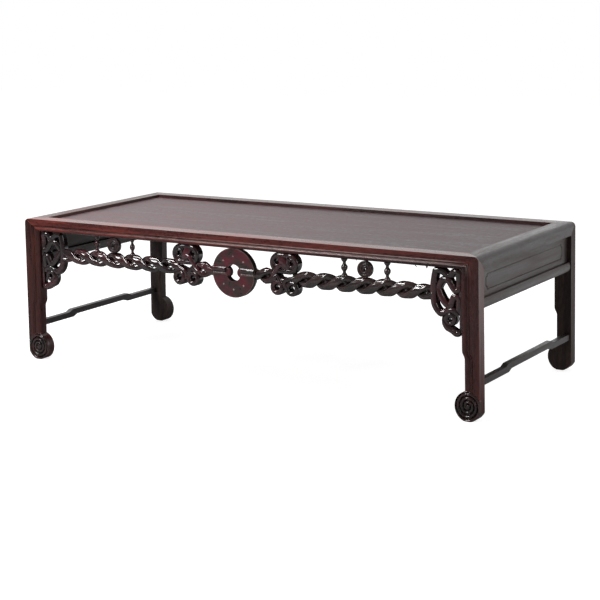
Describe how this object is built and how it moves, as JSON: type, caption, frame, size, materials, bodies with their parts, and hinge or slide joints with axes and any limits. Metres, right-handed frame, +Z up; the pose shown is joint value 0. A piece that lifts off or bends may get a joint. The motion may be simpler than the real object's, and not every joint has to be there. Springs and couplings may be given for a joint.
{
  "type": "kang table",
  "caption": "Low rectangular hardwood table with a mitred frame, scroll feet and a carved rope apron with a pierced disc.",
  "frame": {"origin": "on the floor under the middle of the table", "axes": "+X along the length to the right end, +Y to the plain back, the carved apron faces -Y, +Z up"},
  "size_m": [0.9794, 0.42, 0.28],
  "materials": {
    "panel_wood": "worn wax over fine straight grain, purple-brown",
    "frame_wood": "polished dark red-brown hardwood, rubbed paler on the edges",
    "leg_wood": "polished dark red-brown hardwood",
    "side_wood": "satin grey-brown hardwood",
    "carved_wood": "deep glossy finish, near black with burgundy",
    "inner_wood": "unpolished dark wood"
  },
  "bodies": {
    "root": {"back_lower_rail": "side_wood", "back_panel": "side_wood", "back_rail": "frame_wood", "batten_1": "inner_wood", "batten_2": "inner_wood", "batten_3": "inner_wood", "bi_disc": "carved_wood", "front_rail": "frame_wood", "left_back_leg": "leg_wood", "left_end_panel": "side_wood", "left_end_rail": "frame_wood", "left_front_leg": "leg_wood", "left_inner_baluster": "carved_wood", "left_inner_rope": "carved_wood", "left_knot": "carved_wood", "left_lower_rail": "side_wood", "left_outer_baluster": "carved_wood", "left_outer_rope": "carved_wood", "left_small_disc": "carved_wood", "left_spandrel": "carved_wood", "left_stretcher": "side_wood", "right_back_leg": "leg_wood", "right_end_panel": "side_wood", "right_end_rail": "frame_wood", "right_front_leg": "leg_wood", "right_inner_baluster": "carved_wood", "right_inner_rope": "carved_wood", "right_knot": "carved_wood", "right_lower_rail": "side_wood", "right_outer_baluster": "carved_wood", "right_outer_rope": "carved_wood", "right_small_disc": "carved_wood", "right_spandrel": "carved_wood", "right_stretcher": "side_wood", "top_panel": "panel_wood"}
  },
  "joints": []
}
